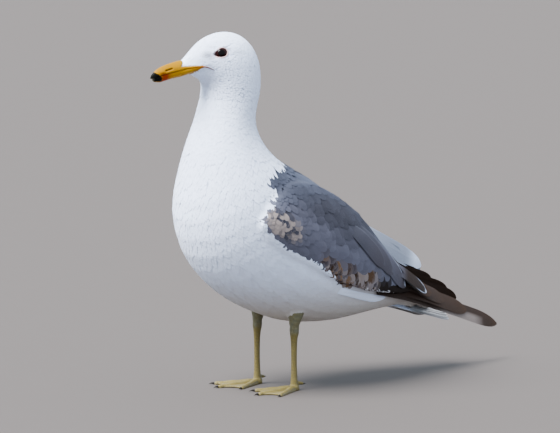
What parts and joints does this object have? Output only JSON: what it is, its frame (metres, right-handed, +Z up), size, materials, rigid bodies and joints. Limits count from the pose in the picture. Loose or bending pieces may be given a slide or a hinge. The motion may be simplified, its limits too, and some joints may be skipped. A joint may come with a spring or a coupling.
{
  "type": "gull",
  "caption": "Life-size gull standing still with folded wings, head raised and turned a little to its right, white below and grey above.",
  "frame": {"origin": "on the ground, under the middle of the box around the whole bird", "axes": "the bird faces -Y, its left side is +X and +Z is up"},
  "size_m": [0.1332, 0.4216, 0.347],
  "materials": {
    "plumage_white": "matte",
    "plumage_grey": "matte",
    "plumage_black": "matte",
    "bill_horn": "satin",
    "eye": "gloss",
    "leg_skin": "satin",
    "claw_horn": "satin"
  },
  "bodies": {
    "root": {"head": "plumage_white", "neck": "plumage_white", "trunk": "plumage_white", "tail": "plumage_white", "bill_upper": "bill_horn", "bill_lower": "bill_horn", "eye_left": "eye", "wing_left": "plumage_grey", "wingtip_left": "plumage_black", "tibia_left": "leg_skin", "tarsus_left": "leg_skin", "foot_left": "leg_skin", "claw_left_inner": "claw_horn", "claw_left_middle": "claw_horn", "claw_left_outer": "claw_horn", "claw_left_hind": "claw_horn", "eye_right": "eye", "wing_right": "plumage_grey", "wingtip_right": "plumage_black", "tibia_right": "leg_skin", "tarsus_right": "leg_skin", "foot_right": "leg_skin", "claw_right_inner": "claw_horn", "claw_right_middle": "claw_horn", "claw_right_outer": "claw_horn", "claw_right_hind": "claw_horn"}
  },
  "joints": []
}
